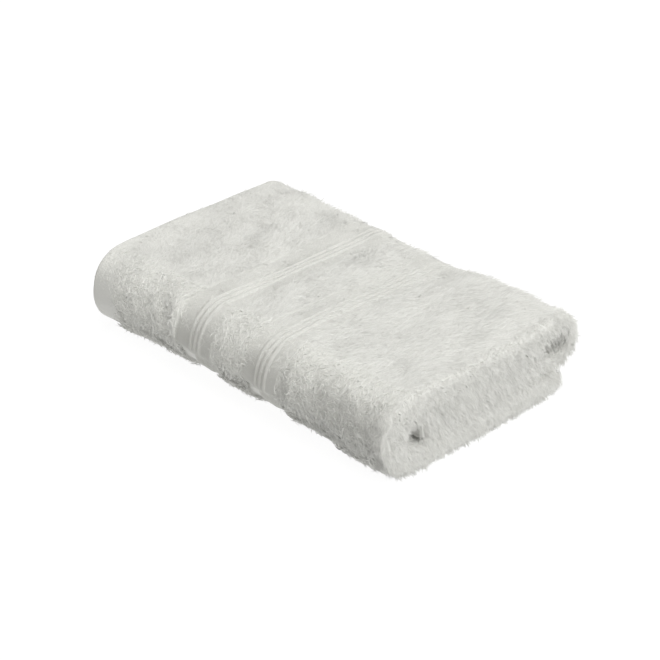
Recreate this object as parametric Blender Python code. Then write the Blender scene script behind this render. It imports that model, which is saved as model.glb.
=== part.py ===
"""A terry hand towel, folded in three across its length and then in three along it.

The towel is one woven cloth, so it is one solid. A section through the first fold
shows three layers of cloth that run back and forth. That section is pushed along the
path of the second fold: a tucked panel, a loose loop at the far side, the top panel,
a full round fold at the near side and the bottom panel. X runs along the folded
length towards the rounded end, Y towards the loose loop and Z up. Metres.
"""

import math

import bmesh
import bpy
from mathutils import Vector

MM = 0.001

# The folded towel, and the cloth that it is folded from.
FOLDED_LENGTH = 260 * MM
CLOTH = 5.1 * MM
LAYER_GAP = 0.6 * MM
STACK = 3 * CLOTH + 2 * LAYER_GAP
PANEL_GAP = 0.8 * MM

# How the three layers of the first fold end.
ROUND_END_REACH = 10.5 * MM
ROUND_END_STEPS = 8
BLUNTNESS = 2.5
TRUE_ROUND = 2
INNER_ROUND_STEPS = 4
TUCKED_HEM_SHORT = 2 * MM
SECOND_TURN_INSET = 4 * MM
SECOND_TURN_STEPS = 5
HIDDEN_STATIONS = 6

# The woven hem, and the two borders with three raised ribs each.
HEM_WIDTH = 22 * MM
HEM_DEPTH = 1.5 * MM
HEM_ROUNDING = 0.9 * MM
BORDER_DEPTH = 1.7 * MM
PILE_EDGE_RUN = 2.3 * MM
PILE_EDGE_DROP = 0.5 * MM
PILE_EDGE_LIP = 0.5 * MM
RIB_PITCH = 3.85 * MM
RIB_HEIGHT = 1.0 * MM
RIB_BASE = 2.9 * MM
RIB_CROWN = 1.3 * MM
PILE_STATION = 19 * MM
# Each border: its name, the distance of its edges from the hem end, and of its middle rib.
BORDERS = (
    ("near the hem", 83 * MM, 115 * MM, 100 * MM),
    ("towards the middle", 141 * MM, 171 * MM, 157 * MM),
)

# The path of the outer face through the second fold. It starts at the free edge of the
# tucked panel, dips a little to the right before the loop, and then only turns left. Each
# row: the stretch, its length, its turn to the left in degrees, its steps, the thickness
# of the three layers where it ends, and how far the round end and the hem end stand out
# there.
TUCKED_START = (-55 * MM, STACK + PANEL_GAP)
LOOP_SLOPE = 14
TOP_SLOPE = 0.6
LOOP_RADIUS = 18.3 * MM
NEAR_RADIUS = 26.27 * MM
LOOP_LOWER_TURN = 90 + LOOP_SLOPE
LOOP_UPPER_TURN = 90 - TOP_SLOPE
PATH = (
    ("tucked panel", 84 * MM, 0, 4, STACK, -2 * MM, -3 * MM),
    ("tucked panel thins", 21 * MM, 0, 2, 11.4 * MM, -3 * MM, -4 * MM),
    ("tucked panel dips to the loop", 17.5 * MM, -LOOP_SLOPE, 2, 8.2 * MM, -3 * MM, -4 * MM),
    ("loose loop, lower half", LOOP_RADIUS * math.radians(LOOP_LOWER_TURN),
     LOOP_LOWER_TURN, 6, 6.2 * MM, -1 * MM, -4 * MM),
    ("loose loop, upper half", LOOP_RADIUS * math.radians(LOOP_UPPER_TURN),
     LOOP_UPPER_TURN, 5, 8.6 * MM, -1 * MM, -2 * MM),
    ("top panel closes on the tucked one", 32 * MM, 0, 2, 16.2 * MM, 0, 1 * MM),
    ("top panel", 94 * MM, 0, 5, 18 * MM, 1 * MM, 0),
    ("near fold, upper half", NEAR_RADIUS * math.radians(90), 90, 6, 19.5 * MM, 2 * MM, -1 * MM),
    ("near fold, lower half", NEAR_RADIUS * math.radians(90 + TOP_SLOPE),
     90 + TOP_SLOPE, 5, STACK, 2 * MM, 0),
    ("bottom panel", 82 * MM, 0, 3, STACK, 3 * MM, 0),
    ("bottom panel thins", 26 * MM, 0, 1, 14.6 * MM, 1 * MM, 0),
    ("bottom panel ends under the loop", 18 * MM, 0, 2, 13.6 * MM, -5 * MM, -3 * MM),
)
# The ends stand out over this stretch of X.
STAND_OUT_START = FOLDED_LENGTH / 4
STAND_OUT_RUN = FOLDED_LENGTH / 4
# Soft waves of the pile on the upper side: height, length along X, length along Y, shift.
WAVES = (
    (0.9 * MM, 91 * MM, 200 * MM, 0.15),
    (0.7 * MM, 54 * MM, -123 * MM, 0.55),
    (0.5 * MM, 37 * MM, 71 * MM, 0.8),
)
WAVES_FULL_HEIGHT = 38 * MM
# A face waves where its way in points up by less than this share, so not underneath.
MOST_UPWARD_WAY_IN = 0.5
# Softly pressed or plump places: X, Y, the reach along X and Y to half their height, and
# the height.
SOFT_PLACES = (
    (6 * MM, 76 * MM, 34 * MM, 22 * MM, -1.8 * MM),
    (-30 * MM, 60 * MM, 16 * MM, 60 * MM, -0.8 * MM),
    (30 * MM, 60 * MM, 16 * MM, 60 * MM, -0.8 * MM),
    (1 * MM, -60 * MM, 14 * MM, 40 * MM, 0.9 * MM),
)


def smooth(share):
    """Eases a share of 0 to 1 in and out."""
    share = min(1.0, max(0.0, share))
    return share * share * (3 - 2 * share)


def round_turn(middle, depth, reach, height, steps, bluntness):
    """Points on the half round of a turn towards +X, from its outer face to its inner one."""
    points = []
    for step in range(1, steps):
        angle = math.pi * step / steps - math.pi / 2
        along = abs(math.cos(angle)) ** (2 / bluntness)
        across = abs(math.sin(angle)) ** (2 / bluntness) * (1 if angle > 0 else -1)
        points.append((middle + reach * along, depth + height * across))
    return points


def rib_points(middle):
    """The raised section of one rib on the flat of a border."""
    flat = BORDER_DEPTH
    crown = BORDER_DEPTH - RIB_HEIGHT
    return [
        (middle - RIB_BASE / 2, flat),
        (middle - RIB_CROWN / 2, crown),
        (middle + RIB_CROWN / 2, crown),
        (middle + RIB_BASE / 2, flat),
    ]


def pile_points(start, end):
    """Even stations on a stretch of pile, without its two ends."""
    count = max(1, round((end - start) / PILE_STATION))
    return [(start + (end - start) * step / count, 0.0) for step in range(1, count)]


def outer_face(hem_end, turn_start):
    """The outer face of the visible layer: hem, pile, border, pile, border and pile."""
    hem_line = hem_end + HEM_WIDTH
    points = [
        (hem_end, HEM_DEPTH + HEM_ROUNDING),
        (hem_end + HEM_ROUNDING, HEM_DEPTH),
        (hem_line, HEM_DEPTH),
        (hem_line + PILE_EDGE_LIP, PILE_EDGE_DROP),
        (hem_line + PILE_EDGE_RUN, 0.0),
    ]
    pile_start = hem_line + PILE_EDGE_RUN
    for _, first_edge, second_edge, middle_rib in BORDERS:
        first = hem_end + first_edge
        second = hem_end + second_edge
        points += pile_points(pile_start, first - PILE_EDGE_RUN)
        points += [
            (first - PILE_EDGE_RUN, 0.0),
            (first - PILE_EDGE_LIP, PILE_EDGE_DROP),
            (first, BORDER_DEPTH),
        ]
        for place in (-1, 0, 1):
            points += rib_points(hem_end + middle_rib + place * RIB_PITCH)
        points += [
            (second, BORDER_DEPTH),
            (second + PILE_EDGE_LIP, PILE_EDGE_DROP),
            (second + PILE_EDGE_RUN, 0.0),
        ]
        pile_start = second + PILE_EDGE_RUN
    points += pile_points(pile_start, turn_start)
    points.append((turn_start, 0.0))
    return points


def hidden_face(start, end, depth):
    """A face of cloth inside the stack, from start to end."""
    return [
        (start + (end - start) * step / HIDDEN_STATIONS, depth)
        for step in range(HIDDEN_STATIONS + 1)
    ]


def first_fold():
    """The outline of the cloth folded in three across: (x, depth under the outer face)."""
    hem_end = -FOLDED_LENGTH / 2
    turn_start = FOLDED_LENGTH / 2 - ROUND_END_REACH
    second_layer = CLOTH + LAYER_GAP
    third_layer = 2 * second_layer
    middle = STACK / 2
    second_turn = hem_end + SECOND_TURN_INSET + CLOTH
    tucked_end = turn_start - TUCKED_HEM_SHORT
    outline = outer_face(hem_end, turn_start)
    outline += round_turn(
        turn_start, middle, ROUND_END_REACH, middle, ROUND_END_STEPS, BLUNTNESS
    )
    outline += hidden_face(turn_start, second_turn, STACK)
    turn_middle = (second_layer + STACK) / 2
    turn_height = (STACK - second_layer) / 2
    outline += [
        (2 * second_turn - x, 2 * turn_middle - depth)
        for x, depth in round_turn(
            second_turn, turn_middle, turn_height, turn_height, SECOND_TURN_STEPS, TRUE_ROUND
        )
    ]
    outline += hidden_face(second_turn, tucked_end, second_layer)
    outline += hidden_face(tucked_end, second_turn, second_layer + CLOTH)
    outline.append((second_turn - LAYER_GAP / 2, third_layer - LAYER_GAP / 2))
    outline += hidden_face(second_turn, turn_start, third_layer)
    inner_half = (third_layer - CLOTH) / 2
    outline += reversed(
        round_turn(turn_start, middle, inner_half, inner_half, INNER_ROUND_STEPS, TRUE_ROUND)
    )
    outline += hidden_face(turn_start, hem_end, CLOTH)
    return outline


def arc(length, turn, heading):
    """Where a stretch of this length and turn leads, from a heading."""
    if not turn:
        return Vector((length * math.cos(heading), length * math.sin(heading)))
    radius = length / turn
    return radius * Vector((
        math.sin(heading + turn) - math.sin(heading),
        math.cos(heading) - math.cos(heading + turn),
    ))


def second_fold():
    """Stations on the path: place, way in, thickness, and the two ends' stand-out."""
    place = Vector(TUCKED_START)
    heading = 0.0
    before = (STACK, PATH[0][5], PATH[0][6])
    stations = []
    for _, length, degrees, steps, *after in PATH:
        turn = math.radians(degrees)
        for step in range(steps):
            share = step / steps
            here = heading + turn * share
            sizes = [a + (b - a) * smooth(share) for a, b in zip(before, after)]
            way_in = Vector((-math.sin(here), math.cos(here)))
            stations.append((place + arc(length * share, turn * share, heading), way_in, *sizes))
        place += arc(length, turn, heading)
        heading += turn
        before = after
    stations.append((place, Vector((-math.sin(heading), math.cos(heading))), *before))
    return stations


def waviness(x, y, z):
    """How far the pile stands above or below its even height on the upper side."""
    height = 0.0
    for size, along_x, along_y, shift in WAVES:
        height += size * math.sin(2 * math.pi * (x / along_x + y / along_y + shift))
    for middle_x, middle_y, reach_x, reach_y, size in SOFT_PLACES:
        apart = math.hypot((x - middle_x) / reach_x, (y - middle_y) / reach_y)
        height += size * smooth(1 - apart / 2)
    return height * smooth(z / WAVES_FULL_HEIGHT)


def towel_mesh():
    """Pushes the section of the first fold along the path of the second one."""
    stations = second_fold()
    shape = bmesh.new()
    outline = [shape.verts.new((x, 0.0, depth)) for x, depth in first_fold()]
    front = shape.faces.new(outline)
    for _ in stations[1:]:
        rim = [front] + front.edges[:] + front.verts[:]
        grown = bmesh.ops.extrude_face_region(shape, geom=rim)["geom"]
        front = next(piece for piece in grown if isinstance(piece, bmesh.types.BMFace))
        bmesh.ops.translate(shape, verts=front.verts[:], vec=(0.0, 1.0, 0.0))
    for vert in shape.verts:
        x, number, depth = vert.co
        place, way_in, thickness, round_end_out, hem_end_out = stations[round(number)]
        waves = way_in.y < MOST_UPWARD_WAY_IN
        swell = waviness(x, *place) * (1 - depth / STACK) if waves else 0.0
        x += round_end_out * smooth((x - STAND_OUT_START) / STAND_OUT_RUN)
        x -= hem_end_out * smooth((-x - STAND_OUT_START) / STAND_OUT_RUN)
        y, z = place + way_in * (depth * thickness / STACK - swell)
        vert.co = (x, y, z)
    places = [vert.co for vert in shape.verts]
    least = [min(place[axis] for place in places) for axis in range(3)]
    most = [max(place[axis] for place in places) for axis in range(3)]
    to_middle = (-(least[0] + most[0]) / 2, -(least[1] + most[1]) / 2, -least[2])
    bmesh.ops.translate(shape, verts=shape.verts[:], vec=to_middle)
    bmesh.ops.recalc_face_normals(shape, faces=shape.faces[:])
    mesh = bpy.data.meshes.new("towel")
    shape.to_mesh(mesh)
    shape.free()
    mesh.shade_smooth()
    return mesh


def cotton():
    """Off-white cotton terry."""
    material = bpy.data.materials.new("terry_cotton")
    material.use_nodes = True
    shader = material.node_tree.nodes["Principled BSDF"]
    shader.inputs["Base Color"].default_value = (0.80, 0.79, 0.75, 1.0)
    shader.inputs["Roughness"].default_value = 0.95
    shader.inputs["Metallic"].default_value = 0.0
    return material


def main():
    for old in list(bpy.data.objects):
        bpy.data.objects.remove(old)
    mesh = towel_mesh()
    mesh.materials.append(cotton())
    towel = bpy.data.objects.new("towel", mesh)
    bpy.context.scene.collection.objects.link(towel)


main()
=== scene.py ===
import math

import bmesh
import bpy
import numpy as np
from mathutils import Matrix, Vector
from mathutils.kdtree import KDTree


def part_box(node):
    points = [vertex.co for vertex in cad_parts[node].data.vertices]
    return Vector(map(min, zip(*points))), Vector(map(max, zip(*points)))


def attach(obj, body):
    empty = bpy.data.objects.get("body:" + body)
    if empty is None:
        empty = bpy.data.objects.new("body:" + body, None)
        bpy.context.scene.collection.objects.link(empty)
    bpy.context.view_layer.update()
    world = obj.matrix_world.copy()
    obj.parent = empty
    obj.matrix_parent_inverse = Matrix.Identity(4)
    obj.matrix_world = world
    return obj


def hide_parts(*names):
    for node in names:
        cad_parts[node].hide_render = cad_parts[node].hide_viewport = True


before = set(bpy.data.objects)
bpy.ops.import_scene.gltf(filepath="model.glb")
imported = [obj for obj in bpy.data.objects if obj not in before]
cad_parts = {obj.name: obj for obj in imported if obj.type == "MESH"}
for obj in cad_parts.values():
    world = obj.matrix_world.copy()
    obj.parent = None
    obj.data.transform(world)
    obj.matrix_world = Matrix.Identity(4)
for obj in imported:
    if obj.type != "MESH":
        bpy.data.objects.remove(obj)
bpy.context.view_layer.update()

# The towel is one cloth of cotton terry, woven in one piece with its borders. It is folded
# in three across its length, so its section is a line round three layers, and then in three
# along it, which carries that line from the tucked panel to the bottom one.
MM = 0.001
FOLDED_LENGTH = 260 * MM
CLOTH = 5.1 * MM
LAYER_GAP = 0.6 * MM
STACK = 3 * CLOTH + 2 * LAYER_GAP
PANEL_GAP = 0.8 * MM
# The round end lies back by the length of its long pile, which fills that out again. It is
# blunt: 2 would be a half circle.
ROUND_END_REACH = 10.5 * MM
LONG_PILE = 2.8 * MM
BLUNTNESS = 3.6
TUCKED_HEM_SHORT = 2 * MM
SECOND_TURN_INSET = 4 * MM
HEM_END = -FOLDED_LENGTH / 2
TURN_START = FOLDED_LENGTH / 2 - ROUND_END_REACH
SECOND_TURN_X = HEM_END + SECOND_TURN_INSET + CLOTH
ROUND_END_STEPS = 26
SECOND_TURN_STEPS = 10
# Where the section is hidden it has longer steps: by its turns, underneath, and inside.
BY_ROUND_END = 45 * MM
BY_SECOND_TURN = 30 * MM
STEP_BY_TURN = 3 * MM
STEP_UNDERNEATH = 12 * MM
STEP_INSIDE = 16 * MM
# The outer face, by distance from the hem end: how far each stretch goes, and its step.
HEM_WIDTH = 22 * MM
HEM_ROUNDING = 1.6 * MM
FACE_STRETCHES = (
    (20.8 * MM, 2 * MM), (25 * MM, 0.7 * MM), (79.6 * MM, 1.3 * MM),
    (85 * MM, 0.7 * MM), (92.4 * MM, 1.5 * MM), (107.6 * MM, 0.42 * MM), (113 * MM, 1.3 * MM),
    (118.5 * MM, 0.7 * MM), (138 * MM, 1.3 * MM), (143 * MM, 0.7 * MM),
    (149.4 * MM, 1.5 * MM), (164.6 * MM, 0.42 * MM), (169 * MM, 1.3 * MM),
    (174.5 * MM, 0.7 * MM), (TURN_START - HEM_END, 1.3 * MM),
)
# The path of the outer face through the second fold: length, turn in degrees, step,
# thickness of the three layers at its end, and how far each end stands out there. The rows
# are three for the tucked panel, two for the loose loop, two for the top panel, two for the
# near fold and three for the bottom panel.
TUCKED_START = (-44 * MM, STACK + PANEL_GAP)
LOOP_SLOPE = 14
TOP_SLOPE = 0.6
LOOP_RADIUS = 18.3 * MM
NEAR_RADIUS = 26.27 * MM
LOOP_LOWER_TURN = 90 + LOOP_SLOPE
LOOP_UPPER_TURN = 90 - TOP_SLOPE
PATH = (
    (73 * MM, 0, 6 * MM, STACK, -2 * MM, -3 * MM),
    (21 * MM, 0, 4 * MM, 11.4 * MM, -3 * MM, -4 * MM),
    (17.5 * MM, -LOOP_SLOPE, 3 * MM, 8.2 * MM, -3 * MM, -4 * MM),
    (LOOP_RADIUS * math.radians(LOOP_LOWER_TURN), LOOP_LOWER_TURN, 1.5 * MM, 6.2 * MM, -1 * MM, -4 * MM),
    (LOOP_RADIUS * math.radians(LOOP_UPPER_TURN), LOOP_UPPER_TURN, 1.4 * MM, 8.6 * MM, -1 * MM, -2 * MM),
    (32 * MM, 0, 1.4 * MM, 16.2 * MM, 0, 1 * MM),
    (94 * MM, 0, 1.4 * MM, 18 * MM, 1 * MM, 0),
    (NEAR_RADIUS * math.radians(90), 90, 1.4 * MM, 19.5 * MM, 0.5 * MM, -3.5 * MM),
    (NEAR_RADIUS * math.radians(90 + TOP_SLOPE), 90 + TOP_SLOPE, 1.4 * MM, STACK, 0.5 * MM, -1.5 * MM),
    (82 * MM, 0, 6 * MM, STACK, 2 * MM, 0),
    (26 * MM, 0, 5 * MM, 14.6 * MM, 2 * MM, 0),
    (22 * MM, 0, 4 * MM, 13.6 * MM, -1 * MM, -3 * MM),
)
MARKS = np.concatenate([[0], np.cumsum([row[0] for row in PATH])])
LOOP_START, LOOP_TOP, NEAR_START, NEAR_END, PATH_END = MARKS[[3, 5, 7, 9, 12]]
# The first stations are close together, so that the cloth thins to its selvedge, and the last
# ones too. There it keeps the square root of this share of its thickness.
END_STATIONS = np.array([0, 0.4, 1.2, 2.5]) * MM
THINNEST_SQUARED = 0.16
# Soft waves of the upper side: height, length along X, length along Y, shift.
WAVES = (
    (0.7 * MM, 91 * MM, 200 * MM, 0.15),
    (0.5 * MM, 54 * MM, -123 * MM, 0.55),
    (0.3 * MM, 37 * MM, 71 * MM, 0.8),
)
WAVES_FULL_HEIGHT = 38 * MM
# A face waves where its way in points up by less than this share, so not underneath.
MOST_UPWARD_WAY_IN = 0.5
# Softly pressed or plump places: X, Y, reach along X, reach along Y, and height.
SOFT_PLACES = (
    (6 * MM, 76 * MM, 34 * MM, 22 * MM, -1.8 * MM),
    (-30 * MM, 60 * MM, 16 * MM, 60 * MM, -0.8 * MM),
    (30 * MM, 60 * MM, 16 * MM, 60 * MM, -0.8 * MM),
    (1 * MM, -60 * MM, 14 * MM, 40 * MM, 0.9 * MM),
    (102 * MM, 72 * MM, 17 * MM, 22 * MM, 2.4 * MM),
    (-122 * MM, -66 * MM, 16 * MM, 12 * MM, -2.0 * MM),
    (94 * MM, -84 * MM, 18 * MM, 12 * MM, 1.2 * MM),
)
# Creases of the folded cloth: the two ends in millimetres, half the width, and the height,
# below 0 for a trough. Each fades out at CREASE_FADE times its half width.
CREASE_FADE = 1.6
CREASES = (
    ((-92, 16, 54), (-52, 3, 54), 6 * MM, 0.6 * MM),
    ((-84, 8, 54), (-46, -6, 54), 5 * MM, -0.4 * MM),
    ((62, 41, 54), (77, 32, 54), 6 * MM, -0.8 * MM),
    ((-20, -22, 54), (14, -40, 53), 7 * MM, 0.4 * MM),
    ((92, -30, 54), (110, -48, 52), 6 * MM, -0.5 * MM),
    ((30, 20, 54), (52, -4, 54), 8 * MM, 0.3 * MM),
    ((-52, -74, 48), (-46, -86, 26), 3.5 * MM, 1.6 * MM),
    ((-46, -86, 26), (-47, -82, 10), 3.5 * MM, 1.4 * MM),
    ((-73, -77, 46), (-59, -86, 28), 4 * MM, 1.4 * MM),
    ((-66, -72, 50), (-56, -85, 32), 3.5 * MM, -1.2 * MM),
    ((-90, -80, 42), (-80, -86, 24), 4 * MM, 1.2 * MM),
    ((-7, -80, 42), (-2, -86, 22), 4 * MM, 1.2 * MM),
    ((50, -76, 47), (54, -86, 24), 4 * MM, 1.3 * MM),
    ((64, -72, 50), (76, -85, 30), 5 * MM, -1.0 * MM),
    ((112, -84, 44), (114, -87, 14), 7 * MM, -0.8 * MM),
    ((88, -78, 45), (92, -86, 22), 5 * MM, -1.1 * MM),
)


def ease(share):
    """Eases a share of 0 to 1 in and out."""
    share = np.clip(share, 0.0, 1.0)
    return share * share * (3 - 2 * share)


def even_steps(start, end, step):
    """Evenly spaced places from start up to end, without the end."""
    return np.linspace(start, end, max(1, round(abs(end - start) / step)), endpoint=False)


def half_round(middle_x, middle_depth, reach, height, steps, bluntness=2):
    """A turn towards +X, from its outer face to its inner one, without its ends."""
    angle = math.pi * np.arange(1, steps) / steps - math.pi / 2
    along = np.abs(np.cos(angle)) ** (2 / bluntness)
    across = np.sign(angle) * np.abs(np.sin(angle)) ** (2 / bluntness)
    return middle_x + reach * along, middle_depth + height * across


def section():
    """The closed line round the three layers: x, depth under the outer face, and layer middle."""
    parts = []

    def add(x, depth, layer_middle):
        x = np.atleast_1d(x)
        parts.append(np.stack([x, np.broadcast_to(depth, x.shape), np.full(x.shape, layer_middle)]))

    start = HEM_ROUNDING
    for end, step in FACE_STRETCHES:
        add(HEM_END + even_steps(start, end, step), 0.0, CLOTH / 2)
        start = end
    second_layer = CLOTH + LAYER_GAP
    third_layer = 2 * second_layer
    third_middle = third_layer + CLOTH / 2
    second_middle = second_layer + CLOTH / 2
    add(TURN_START, 0.0, CLOTH / 2)
    reach = ROUND_END_REACH - LONG_PILE
    x, depth = half_round(TURN_START, STACK / 2, reach, STACK / 2, ROUND_END_STEPS, BLUNTNESS)
    parts.append(np.stack([x, depth, np.where(depth < STACK / 2, CLOTH / 2, third_middle)]))
    after_end, before_turn = TURN_START - BY_ROUND_END, SECOND_TURN_X + BY_SECOND_TURN
    add(even_steps(TURN_START, after_end, STEP_BY_TURN), STACK, third_middle)
    add(even_steps(after_end, before_turn, STEP_UNDERNEATH), STACK, third_middle)
    add(even_steps(before_turn, SECOND_TURN_X, STEP_BY_TURN), STACK, third_middle)
    add(SECOND_TURN_X, STACK, third_middle)
    turn_middle = (second_layer + STACK) / 2
    turn_height = (STACK - second_layer) / 2
    x, depth = half_round(SECOND_TURN_X, turn_middle, turn_height, turn_height, SECOND_TURN_STEPS)
    x, depth = 2 * SECOND_TURN_X - x, 2 * turn_middle - depth
    parts.append(np.stack([x, depth, np.where(depth > turn_middle, third_middle, second_middle)]))
    tucked_end = TURN_START - TUCKED_HEM_SHORT
    add(even_steps(SECOND_TURN_X, tucked_end, STEP_INSIDE), second_layer, second_middle)
    add(tucked_end, second_layer, second_middle)
    add(even_steps(tucked_end, SECOND_TURN_X, STEP_INSIDE), second_layer + CLOTH, second_middle)
    add(SECOND_TURN_X - LAYER_GAP / 2, third_layer - LAYER_GAP / 2, third_middle)
    add(even_steps(SECOND_TURN_X, TURN_START, STEP_INSIDE), third_layer, third_middle)
    add(TURN_START, third_layer, third_middle)
    inner_half = (third_layer - CLOTH) / 2
    x, depth = half_round(TURN_START, STACK / 2, inner_half, inner_half, 6)
    x, depth = x[::-1], depth[::-1]
    parts.append(np.stack([x, depth, np.where(depth > STACK / 2, third_middle, CLOTH / 2)]))
    hem_start = HEM_END + HEM_ROUNDING
    add(even_steps(TURN_START, hem_start, STEP_INSIDE), CLOTH, CLOTH / 2)
    add(hem_start, CLOTH, CLOTH / 2)
    x, depth = half_round(hem_start, CLOTH / 2, HEM_ROUNDING, CLOTH / 2, 6)
    add(2 * hem_start - x[::-1], depth[::-1], CLOTH / 2)
    return np.concatenate(parts, axis=1)


def path_table():
    """Fine stations on the path: place, way in, thickness and the two ends' stand-out."""
    place = np.array(TUCKED_START)
    heading = 0.0
    before = np.array([STACK, PATH[0][4], PATH[0][5]])
    rows = []
    rows_each = 60
    for number, (length, degrees, _, *after) in enumerate(PATH):
        turn = math.radians(degrees)
        share = np.linspace(0, 1, rows_each, endpoint=number == len(PATH) - 1)
        here = heading + turn * share
        if turn:
            radius = length / turn
            y = place[0] + radius * (np.sin(here) - math.sin(heading))
            z = place[1] + radius * (math.cos(heading) - np.cos(here))
            end = radius * np.array([
                math.sin(heading + turn) - math.sin(heading),
                math.cos(heading) - math.cos(heading + turn),
            ])
        else:
            y = place[0] + length * share * math.cos(heading)
            z = place[1] + length * share * math.sin(heading)
            end = length * np.array([math.cos(heading), math.sin(heading)])
        sizes = before + (np.array(after) - before) * ease(share)[:, None]
        rows.append(np.column_stack([MARKS[number] + length * share, y, z, here, sizes]))
        place = place + end
        heading += turn
        before = np.array(after)
    return np.concatenate(rows)


path_rows = path_table()


def on_path(along):
    """The path's place and sizes at a distance along it."""
    return [np.interp(along, path_rows[:, 0], path_rows[:, column]) for column in range(1, 7)]


def waviness(x, y, z):
    """How far the upper side stands above or below its even height."""
    height = 0.0
    for size, along_x, along_y, shift in WAVES:
        height = height + size * np.sin(2 * math.pi * (x / along_x + y / along_y + shift))
    for middle_x, middle_y, reach_x, reach_y, size in SOFT_PLACES:
        apart = np.hypot((x - middle_x) / reach_x, (y - middle_y) / reach_y)
        height = height + size * ease(1 - apart / 2)
    return height * ease(z / WAVES_FULL_HEIGHT)


def folded(x, depth, along):
    """Where a point of the section lies once the second fold is made.

    The ends stand out over the last quarter of the length.
    """
    y, z, heading, thickness, round_out, hem_out = on_path(along)
    in_y, in_z = -np.sin(heading), np.cos(heading)
    swell = np.where(in_z < MOST_UPWARD_WAY_IN, waviness(x, y, z) * (1 - depth / STACK), 0.0)
    inward = depth * thickness / STACK - swell
    stand_out = round_out * ease(4 * x / FOLDED_LENGTH - 1) - hem_out * ease(-4 * x / FOLDED_LENGTH - 1)
    return np.stack([x + stand_out, y + in_y * inward, z + in_z * inward], axis=-1)


line_x, line_depth, line_middle = section()
# Distances are from the hem's end, and the line starts past the rounding of its edge.
line_steps = np.hypot(np.diff(line_x), np.diff(line_depth))
line_length = HEM_ROUNDING + np.concatenate([[0], np.cumsum(line_steps)])
way_x = np.roll(line_x, -1) - np.roll(line_x, 1)
way_depth = np.roll(line_depth, -1) - np.roll(line_depth, 1)
way_size = np.maximum(np.hypot(way_x, way_depth), 1e-9)
out_x, out_depth = way_depth / way_size, -way_x / way_size
LEVEL_UNDER = 0.1


def turn_range(first):
    """Where the line goes round an end: from this distance until it is level again."""
    start = np.searchsorted(line_length, first + 0.1 * MM) + 2
    level = np.flatnonzero(np.abs(out_x[start:]) < LEVEL_UNDER)[0] + start
    return first, line_length[level]


ROUND_END = turn_range(TURN_START - HEM_END)
second_start = np.flatnonzero((line_depth == STACK) & (line_x == SECOND_TURN_X))[0]
SECOND_TURN = turn_range(line_length[second_start])


def turned_out(distance):
    """How much the face turns outwards to an end, on the round end and the second turn."""
    sideways = np.abs(np.interp(distance, line_length, out_x))
    round_end = (distance > ROUND_END[0]) & (distance < ROUND_END[1])
    second_turn = (distance > SECOND_TURN[0]) & (distance < SECOND_TURN[1])
    return np.where(round_end | second_turn, sideways, 0.0)


# The seen stretches of the outer face: the hem, the flat borders with three cords each, and
# pile between them. Depths are under the height that the pile reaches.
SEEN_PILE = TURN_START - HEM_END
BEYOND_BORDERS = 1.0
HEM_DEPTH = 1.5 * MM
BORDER_DEPTH = 1.4 * MM
PILE_BODY = 0.7 * MM
SIDE_PILE_BODY = 1.9 * MM
BORDERS = ((83 * MM, 115 * MM, 100 * MM), (141 * MM, 171 * MM, 157 * MM))
CORD_PITCH = 3.85 * MM
CORD_HEIGHT = 1.0 * MM
CORD_HALF_WIDTH = 1.4 * MM
BORDER_TILT = 0.7 * MM
BORDER_HALF_WIDTH = 15 * MM
TILT_ENDS_AT = 1.3
PILE_LIP = 1.4 * MM
# On the top the hem and the borders lie less deep.
HEM_RAISED_ON_TOP = 0.75
BORDER_RAISED_ON_TOP = 0.5
# How quickly a face that turns from the side to the top counts as top, and how late.
TOP_GAIN = 1.6
TOP_LATE = 0.3
# Soft lumps of the pile: wavelength, height and seed, and how strong they are.
LUMPS = ((11 * MM, 0.17 * MM, 3), (5.5 * MM, 0.1 * MM, 4), (3.3 * MM, 0.06 * MM, 5))
LUMPS_ON_SIDE = 1.3
LUMPS_ON_TOP = 0.25
# The low part of the near side lies back, more and more from the hem onwards. By the round
# end it is fuller again: X, reach along X, and the share that it regains.
LOW_SIDE_SET_IN = 3.4 * MM
SET_IN_OVER = 60 * MM
FULL_LOW_SIDE = (100 * MM, 24 * MM, 0.75)
FULL_FADE = 1.6
LOW_GAIN = 3
SIDE_GAIN = 2
# How far the flats of the hem and of the borders show the woven colour, which is partly
# painted shade. On the top they show less of it: painted light, so that the flats are lighter
# on the top than on the sides, where they lie in shade.
HEM_SHADE = 0.2
PAINTED_SHADE_LESS_ON_TOP = 0.45


def in_border(from_hem):
    """1 on the flat of a border and on the hem, 0 on pile."""
    flat = ease(0.5 + (HEM_WIDTH - from_hem) / PILE_LIP)
    for first, second, _ in BORDERS:
        after = ease(0.5 + (from_hem - first) / PILE_LIP)
        flat = np.maximum(flat, after * ease(0.5 + (second - from_hem) / PILE_LIP))
    return flat


def cords(from_hem):
    """The height of the raised cords on the flats of the borders."""
    height = np.zeros_like(from_hem)
    for _, _, middle in BORDERS:
        for place in (-1, 0, 1):
            apart = np.abs(from_hem - middle - place * CORD_PITCH) / CORD_HALF_WIDTH
            height = np.maximum(height, CORD_HEIGHT * np.sqrt(np.clip(1 - apart * apart, 0, 1)))
    return height


def border_slope(from_hem):
    """How much deeper a border lies on the hem's side of its cords than on the other side."""
    slope = np.zeros_like(from_hem)
    for _, _, middle in BORDERS:
        apart = (middle - from_hem) / BORDER_HALF_WIDTH
        slope = slope + np.where(np.abs(apart) < TILT_ENDS_AT, BORDER_TILT * apart, 0.0)
    return slope


def on_top(along):
    """1 where the outer face looks up, 0 on the sides and underneath."""
    return ease(-TOP_GAIN * np.cos(on_path(along)[2]) - TOP_LATE)


def faces_up(along):
    """1 where the outer face points sideways or up, 0 where it is underneath."""
    return ease(2 - 3 * np.cos(on_path(along)[2]))


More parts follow.
